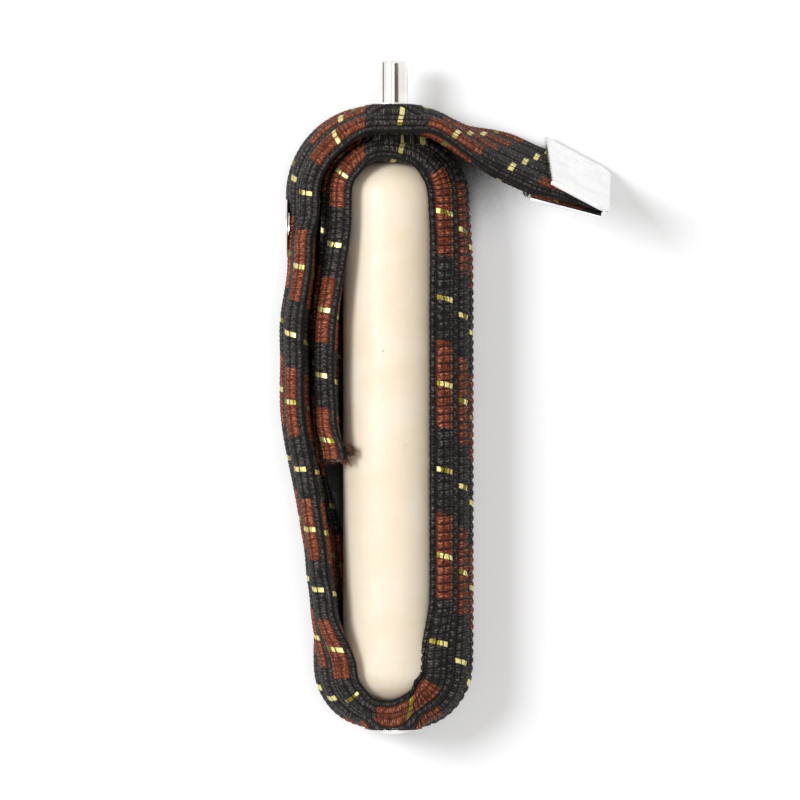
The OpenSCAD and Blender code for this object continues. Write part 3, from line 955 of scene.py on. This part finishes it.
def tailMatrix():
    lean = Matrix.Rotation(math.radians(route["tailLean"]), 4, "X")
    swing = Matrix.Rotation(math.radians(-route["tailAngle"]), 4, "Z")
    return (Matrix.Translation((tailStart[0] * mm, tailStart[1] * mm, 0)) @ swing
            @ Matrix.Translation((0, 0, stance["lift"][-1][2] * mm)) @ lean)


def makeClasp():
    s = claspSizes
    outerSlope, innerSlope, foldX, foldY = claspFold()
    foldX += route["bendLength"] + route["flatLength"]
    middle = s["foldRadius"] + s["sheet"] / 2  # the sheet's middle, from the fold's centre
    # the outer leaf, with its mouth at -X and the fold's centre at the origin
    clearSelection()
    bpy.ops.mesh.primitive_grid_add(x_subdivisions=8, y_subdivisions=2 * s["teeth"], size=mm,
                                    location=(-s["outerLeaf"] / 2 * mm, 0, -middle * mm))
    clasp = bpy.context.object
    clasp.name = "tailClasp"
    clasp.scale = (s["outerLeaf"], s["width"], 1)
    bpy.ops.object.transform_apply(location=True, rotation=True, scale=True)
    edit(clasp)
    # every other point of the mouth's edge is drawn back, which leaves teeth
    pitch = s["width"] / (2 * s["teeth"])
    selectWhere(clasp, lambda p: (p.x < 0.01 - s["outerLeaf"]
                                  and round((p.y + s["width"] / 2) / pitch) % 2 == 1))
    bpy.ops.transform.translate(value=(s["toothDeep"] * mm, 0, 0))
    bpy.ops.object.mode_set(mode="OBJECT")
    for vertex in clasp.data.vertices:
        share = -vertex.co.x / mm / s["outerLeaf"]
        vertex.co.x += s["slant"] * share * vertex.co.y / (s["width"] / 2)
    place(clasp, Matrix.Rotation(-outerSlope, 4, "Y"))
    edit(clasp)
    selectWhere(clasp, lambda p: p.x > -0.1)
    bpy.ops.mesh.spin(steps=10, angle=math.pi - outerSlope - innerSlope, center=(0, 0, 0), axis=(0, -1, 0))
    innerWay = (-s["innerLeaf"] * math.cos(innerSlope) * mm, 0, s["innerLeaf"] * math.sin(innerSlope) * mm)
    bpy.ops.mesh.extrude_edges_move(TRANSFORM_OT_translate={"value": innerWay})
    bpy.ops.mesh.select_all(action="SELECT")
    bpy.ops.mesh.remove_doubles(threshold=1e-6)
    bpy.ops.mesh.normals_make_consistent(inside=False)
    bpy.ops.object.mode_set(mode="OBJECT")
    wall = clasp.modifiers.new("wall", "SOLIDIFY")
    wall.thickness = s["sheet"] * mm
    wall.offset = 0
    edges = clasp.modifiers.new("edges", "BEVEL")
    edges.width = s["edge"] * mm
    edges.segments = 2
    edges.limit_method = "ANGLE"
    for name in ("wall", "edges"):
        bpy.ops.object.modifier_apply(modifier=name)
    # it is pressed on slightly askew, and turned so that its width runs up from the table
    askew = Matrix.Identity(4)
    askew[0][1] = stance["skew"][-1][2]
    clasp.data.transform(askew)
    upright = Matrix.Rotation(math.pi / 2, 4, "X")
    place(clasp, tailMatrix() @ Matrix.Translation((foldX * mm, foldY * mm, 0)) @ upright)
    return finish(clasp, claspMetal, "free_tail", ["tail_clasp"], smooth=30)


makeClasp()
print("clasp made")

# camera, floor and light
view = {"width": 88.0, "distance": 500.0, "x": 0.715, "y": -32.53}
bpy.ops.object.camera_add(rotation=(0, 0, 0),
                          location=(view["x"] * mm, view["y"] * mm, view["distance"] * mm))
camera = bpy.context.object
camera.data.sensor_width = 36
camera.data.lens = 36 * view["distance"] / view["width"]
camera.data.clip_start = 0.01
bpy.context.scene.camera = camera

stageSizes = {
    "floor": 4.0,
    "glow": 0.28,
    "gapReach": 14,  # how far round a spot on the floor is looked for shade
    "pale": (0.795, 0.8, 0.815, 1),
    # floor colour painted into the narrow gaps under the strap as painted shade
    "dark": (0.012, 0.01, 0.009, 1),
    "warmLight": (1, 0.955, 0.89, 1),
}
bpy.ops.mesh.primitive_plane_add(size=stageSizes["floor"], location=(0, 0, tableZ * mm))
floor = bpy.context.object
floor.name = "floor"
floorMaterial, tree, shader = newMaterial("paleFloor", Roughness=0.9)
glow = nodeOf(tree, "Emission")
seen = nodeOf(tree, "LightPath")
hollow = nodeOf(tree, "AmbientOcclusion", samples=16)  # painted shade: the glow and the floor's colour go dark in the narrow gaps under the strap
hollow.inputs["Distance"].default_value = stageSizes["gapReach"] * mm
clear = ranged(tree, hollow.outputs["AO"], 0.22, 0.46)
# painted shade: where the floor is hemmed in, its colour turns near black and its glow fades
floorColour = mixed(tree, clear, stageSizes["dark"], stageSizes["pale"])
tree.links.new(floorColour, shader.inputs["Base Color"])
bright = sums(tree, "MAXIMUM", seen.outputs["Is Camera Ray"], seen.outputs["Is Glossy Ray"])
tree.links.new(sums(tree, "MULTIPLY", bright, sums(tree, "MULTIPLY", clear, stageSizes["glow"])),
               glow.inputs["Strength"])
both = nodeOf(tree, "AddShader")
tree.links.new(shader.outputs[0], both.inputs[0])
tree.links.new(glow.outputs[0], both.inputs[1])
tree.links.new(both.outputs[0], tree.nodes["Material Output"].inputs["Surface"])
floor.data.materials.append(floorMaterial)


def lamp(name, spot, aim, size, power):
    bpy.ops.object.light_add(type="AREA", location=[part * mm for part in spot])
    made = bpy.context.object
    made.name = name
    made.data.shape = "DISK"
    made.data.size = size * mm
    made.data.energy = power
    way = Vector(aim) - Vector(spot)
    made.rotation_euler = way.to_track_quat("-Z", "Y").to_euler()
    return made


lamp("key", (-270, 60, 350), (0, -30, 0), 170, 1.44)
lamp("fill", (60, -60, 480), (0, -30, 0), 260, 0.62)


def card(name, spot, size, turn):  # a dark strip that only metal reflects
    bpy.ops.mesh.primitive_plane_add(size=mm, location=[part * mm for part in spot],
                                     rotation=[math.radians(part) for part in turn])
    made = bpy.context.object
    made.name = name
    made.scale = (size[0], size[1], 1)
    made.data.materials.append(cardMaterial)
    made.visible_camera = made.visible_diffuse = made.visible_shadow = made.visible_transmission = False


cardMaterial, tree, cardShader = newMaterial("darkCard", Roughness=1.0, Specular_IOR_Level=0.0)
cardShader.inputs["Base Color"].default_value = (0, 0, 0, 1)
cardShader.inputs["Emission Color"].default_value = (0.13, 0.10, 0.078, 1)
cardShader.inputs["Emission Strength"].default_value = 1
card("cardAbove", (54, 4, 120), (92, 26, 1), (0, 0, 0))
card("cardLeft", (-60, 4, 0), (15, 40, 1), (0, 90, 0))

world = bpy.data.worlds.new("paleRoom")
bpy.context.scene.world = world
world.use_nodes = True
tree = world.node_tree
sky = tree.nodes["Background"]
rays = nodeOf(tree, "LightPath")
strength = sums(tree, "MAXIMUM", rays.outputs["Is Camera Ray"], rays.outputs["Is Glossy Ray"])
tree.links.new(ranged(tree, strength, 0.0, 1.0, 0.26, 1.0), sky.inputs["Strength"])
tree.links.new(mixed(tree, strength, stageSizes["warmLight"], (1, 1, 1, 1)), sky.inputs["Color"])
bpy.context.scene.view_settings.view_transform = "Standard"
